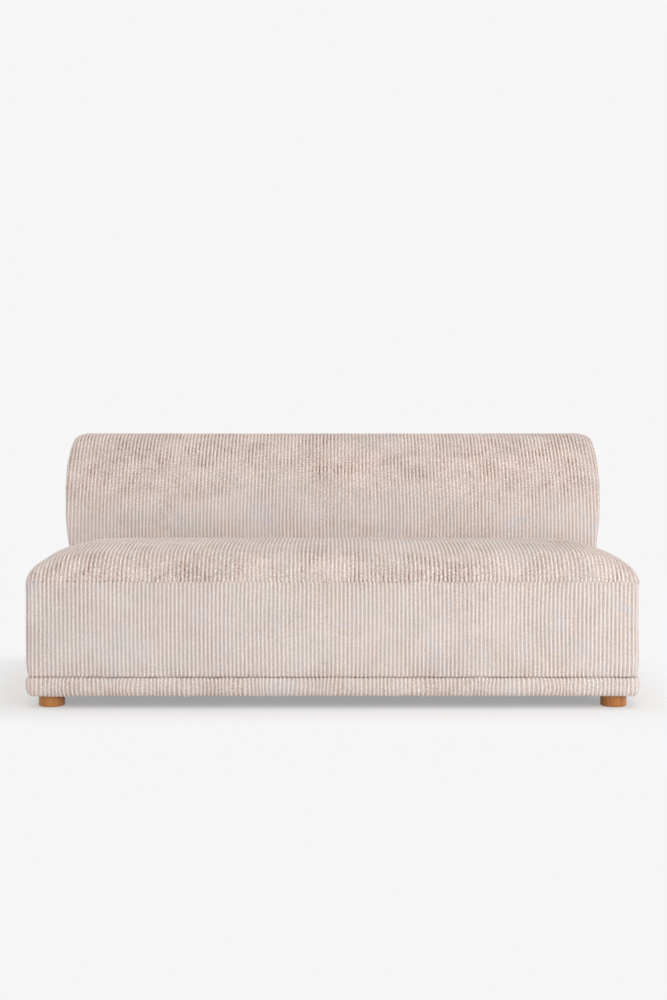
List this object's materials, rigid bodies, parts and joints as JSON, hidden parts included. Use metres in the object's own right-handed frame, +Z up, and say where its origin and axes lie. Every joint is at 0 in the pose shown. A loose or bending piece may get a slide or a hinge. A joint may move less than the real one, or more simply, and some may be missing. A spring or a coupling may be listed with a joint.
{
  "type": "armless sofa",
  "caption": "Armless two-seat sofa with a domed tight seat, a low rounded back and a padded band at the base, covered in wide ribbed chenille, on short round wooden feet",
  "frame": {"origin": "on the floor, under the middle of the sofa's length and depth", "axes": "+X along the sofa, to the right as it is seen from the front; the front faces -Y; +Z up"},
  "size_m": [1.75, 0.93, 0.8],
  "materials": {
    "cover_fabric": "matte",
    "foot_wood": "satin",
    "frame_wood": "matte",
    "foam": "matte",
    "fibre": "matte",
    "steel": "satin",
    "hardboard": "matte",
    "lining": "matte",
    "felt": "matte",
    "webbing": "matte"
  },
  "bodies": {
    "root": {"seat_top_cover": "cover_fabric", "base_cover_front": "cover_fabric", "base_cover_left": "cover_fabric", "base_cover_right": "cover_fabric", "base_cover_rear": "cover_fabric", "band_cover_front": "cover_fabric", "band_cover_left": "cover_fabric", "band_cover_right": "cover_fabric", "band_cover_rear": "cover_fabric", "inside_back_cover": "cover_fabric", "outside_back_cover": "cover_fabric", "back_side_cover_left": "cover_fabric", "back_side_cover_right": "cover_fabric", "foot_front_left": "foot_wood", "foot_front_right": "foot_wood", "foot_rear_left": "foot_wood", "foot_rear_right": "foot_wood", "base_front_rail": "frame_wood", "base_rear_rail": "frame_wood", "base_side_rail_left": "frame_wood", "base_side_rail_right": "frame_wood", "base_cross_rails": "frame_wood", "spring_rear_rail": "frame_wood", "corner_blocks": "frame_wood", "foot_boards": "frame_wood", "back_post_left": "frame_wood", "back_post_right": "frame_wood", "back_top_rail": "frame_wood", "back_bottom_rail": "frame_wood", "back_mid_posts": "frame_wood", "seat_foam": "foam", "back_foam": "foam", "back_crest_foam": "foam", "back_side_foam_left": "foam", "back_side_foam_right": "foam", "seat_fibre_wrap": "fibre", "back_fibre_wrap": "fibre", "base_pad_front": "fibre", "base_pad_left": "fibre", "base_pad_right": "fibre", "base_pad_rear": "fibre", "band_roll_front": "fibre", "band_roll_left": "fibre", "band_roll_right": "fibre", "band_roll_rear": "fibre", "frame_screws": "steel", "tee_nuts": "steel", "hanger_bolts": "steel", "seat_springs": "steel", "spring_clips": "steel", "spring_tie_wires": "steel", "back_bolts": "steel", "bolt_inserts": "steel", "dust_cover_staples": "steel", "back_rear_board": "hardboard", "dust_cover": "lining", "foot_glides": "felt", "insulator_pad": "felt", "edge_rolls": "felt", "back_webbing": "webbing"}
  },
  "joints": []
}
